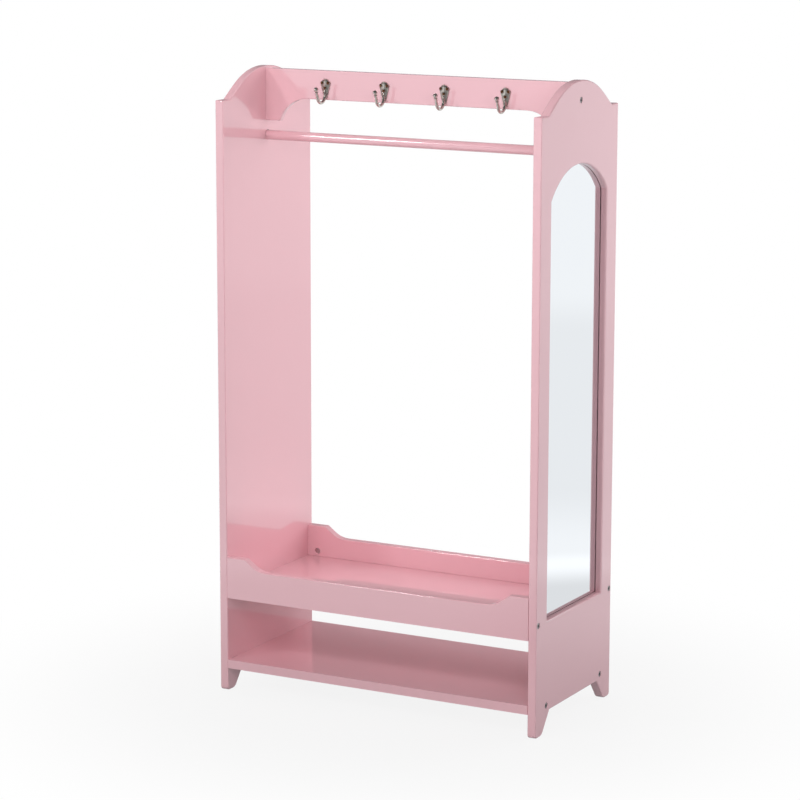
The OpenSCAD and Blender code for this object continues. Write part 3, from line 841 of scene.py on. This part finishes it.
class STAND_OT_studio(bpy.types.Operator):
    """Set the floor, the soft boxes and the camera"""

    bl_idname = "stand.studio"
    bl_label = "Floor, Lamps and Camera"

    def execute(self, context):
        scene = context.scene
        studio = scene.stand_studio
        scene.view_settings.view_transform = "Standard"

        bm = bmesh.new()
        bmesh.ops.create_circle(bm, cap_ends=True, segments=96, radius=FLOOR_RADIUS)
        bmesh.ops.translate(bm, verts=bm.verts, vec=(0, 0, -FLOOR_DROP))
        mesh = bpy.data.meshes.new("floor")
        bm.to_mesh(mesh)
        bm.free()
        paper = bpy.data.materials.new("floor_paper")
        paper.use_nodes = True
        paint_floor(Shader(paper.node_tree), studio)
        mesh.materials.append(paper)
        floor = bpy.data.objects.new("floor", mesh)
        scene.collection.objects.link(floor)

        for name, power, size, place in (
            ("key", studio.key_light, 0.3, (-1.3, -1.9, 2.0)),
            ("top", studio.top_light, 0.6, (-0.1, 0.0, 1.6)),
            ("front", studio.front_light, 1.2, (0.0, -1.9, 1.6)),
            ("fill", studio.fill_light, 0.8, (1.3, -1.5, 1.2)),
            ("side", studio.side_light, 1.2, (1.4, 1.2, 1.5)),
            ("left", studio.left_light, 1.2, (-2.0, 0.4, 1.2)),
            ("back_left", studio.back_light, 1.2, (-0.9, 1.9, 1.3)),
            ("back_right", studio.back_light, 0.8, (0.9, 2.0, 0.7)),
        ):
            lamp = bpy.data.lights.new(f"{name}_soft_box", "AREA")
            lamp.shape = "SQUARE"
            lamp.size = size
            lamp.energy = power
            holder = bpy.data.objects.new(lamp.name, lamp)
            holder.location = place
            holder.rotation_mode = "QUATERNION"
            holder.rotation_quaternion = (LAMPS_FACE - Vector(place)).to_track_quat("-Z", "Y")
            holder.visible_camera = False
            holder.visible_glossy = name == "key"
            scene.collection.objects.link(holder)

        scene.world = bpy.data.worlds.new("studio")
        scene.world.use_nodes = True
        paint_world(Shader(scene.world.node_tree), studio)

        lens = bpy.data.cameras.new("camera")
        lens.sensor_width = 36
        lens.lens = studio.lens
        lens.clip_start, lens.clip_end = 0.1, 60
        camera = bpy.data.objects.new("camera", lens)
        back = Vector((
            math.sin(studio.azimuth) * math.cos(studio.elevation),
            -math.cos(studio.azimuth) * math.cos(studio.elevation),
            math.sin(studio.elevation),
        ))
        camera.location = Vector(studio.target) + back * studio.distance
        camera.rotation_mode = "QUATERNION"
        camera.rotation_quaternion = (-back).to_track_quat("-Z", "Y") @ Quaternion((0, 0, 1), studio.roll)
        scene.collection.objects.link(camera)
        scene.camera = camera
        return {"FINISHED"}


def toward_camera_side(s, direction):
    """1 where a direction points to the dim side of the studio, where the camera stands."""
    length = s.node("ShaderNodeVectorMath", {"operation": "LENGTH"}, {0: direction}, out="Value")
    along = s.node(
        "ShaderNodeVectorMath", {"operation": "DOT_PRODUCT"}, {0: direction, 1: DIM_SIDE}, out="Value"
    )
    return (along / length).step(*DIM_EDGE)


def seen_by(s, kind):
    """1 for a ray of that kind."""
    return s.node("ShaderNodeLightPath", out=f"Is {kind} Ray")


def in_reflection(s):
    """1 where something is seen in a reflection or through glass."""
    return seen_by(s, "Glossy").highest(seen_by(s, "Transmission"))


def paint_floor(s, studio):
    """White paper with the stand's faint shadow. Reflections show another floor, fitted to the
    photograph, that glows with painted light and shade: a painted shadow near the stand, a painted
    bright ring round it, and painted dimming on the camera's side.
    The shares of its bands add up to 1 at the far floor.
    """
    point = s.node("ShaderNodeTexCoord", out="Object")
    away = s.node("ShaderNodeVectorMath", {"operation": "LENGTH"}, {0: point}, out="Value")
    paper = s.node("ShaderNodeBsdfDiffuse", {}, {"Color": rgba(studio.floor)})
    white = s.node("ShaderNodeEmission", {}, {"Color": WHITE, "Strength": 1.0})
    # painted shade: in reflections the floor glows less on the camera's side
    dim = toward_camera_side(s, point) * away.step(*DIM_STARTS)
    # painted shadow: in reflections the floor glows less near the stand, in place of the stand's shade
    near = 0.47 + 0.35 * away.step(*SHADE_FADES)
    # painted light: a glowing bright ring round the stand and a brighter far floor, seen in reflections
    ring = 0.3 * away.step(*RING_RISES) - 0.1 * away.step(*RING_FALLS) - 0.1 * away.step(*RING_ENDS)
    painted_floor_brightness = near + ring + 0.08 * away.step(*FAR_FLOOR)
    strength = studio.room * painted_floor_brightness * (1 - DIM_SHARE * dim)
    reflected = s.node("ShaderNodeEmission", {}, {"Color": rgba(studio.far), "Strength": strength})
    lit = s.node("ShaderNodeMixShader", {}, {0: in_reflection(s), 1: paper, 2: reflected})
    share = seen_by(s, "Camera") * (1 - SHADOW_SHARE + SHADOW_SHARE * away.step(*SHADE_FADES))
    both = s.node("ShaderNodeMixShader", {}, {0: share, 1: lit, 2: white})
    s.node("ShaderNodeOutputMaterial", {}, {"Surface": both})


def paint_world(s, studio):
    """White where it is seen straight, greyer in reflections, and even soft light elsewhere."""
    ray = s.node("ShaderNodeTexCoord", out="Object")
    height = s.node("ShaderNodeSeparateXYZ", {}, {0: ray}, out="Z")
    upper = 1 - (1 - studio.upper) * height.step(*HORIZON)
    strength = studio.room * upper * (1 - DIM_SHARE * toward_camera_side(s, ray))
    white = s.node("ShaderNodeBackground", {}, {"Color": WHITE, "Strength": 1.0})
    reflected = s.node("ShaderNodeBackground", {}, {"Color": rgba(studio.far), "Strength": strength})
    light = s.node("ShaderNodeBackground", {}, {"Color": WHITE, "Strength": studio.ambient})
    lit = s.node("ShaderNodeMixShader", {}, {0: in_reflection(s), 1: light, 2: reflected})
    both = s.node("ShaderNodeMixShader", {}, {0: seen_by(s, "Camera"), 1: lit, 2: white})
    s.node("ShaderNodeOutputWorld", {}, {"Surface": both})


class STAND_PT_pieces(bpy.types.Panel):
    """Buttons that make each group of pieces."""

    bl_label = "Dress Up Stand"
    bl_idname = "STAND_PT_pieces"
    bl_space_type = "VIEW_3D"
    bl_region_type = "UI"
    bl_category = "Stand"

    def draw(self, context):
        for operator in OPERATORS:
            self.layout.operator(operator.bl_idname)
        for group in (getattr(context.scene, setting) for setting in SETTINGS):
            box = self.layout.box()
            for name in group.__annotations__:
                box.prop(group, name)


OPERATORS = (
    STAND_OT_side_panels,
    STAND_OT_boards,
    STAND_OT_rod,
    STAND_OT_mirror,
    STAND_OT_hooks,
    STAND_OT_fastenings,
    STAND_OT_studio,
)
SETTINGS = {
    "stand_sizes": StandSizes,
    "stand_hooks": StandHooks,
    "stand_colours": StandColours,
    "stand_studio": StandStudio,
}


def register():
    for made in (*SETTINGS.values(), *OPERATORS, STAND_PT_pieces):
        bpy.utils.register_class(made)
    for name, group in SETTINGS.items():
        setattr(bpy.types.Scene, name, bpy.props.PointerProperty(type=group))


def unregister():
    for name in SETTINGS:
        delattr(bpy.types.Scene, name)
    for made in (STAND_PT_pieces, *OPERATORS, *SETTINGS.values()):
        bpy.utils.unregister_class(made)


def main():
    """Makes every piece and the studio."""
    register()
    for operator in OPERATORS:
        group, name = operator.bl_idname.split(".")
        getattr(getattr(bpy.ops, group), name)()


if __name__ == "__main__":
    main()
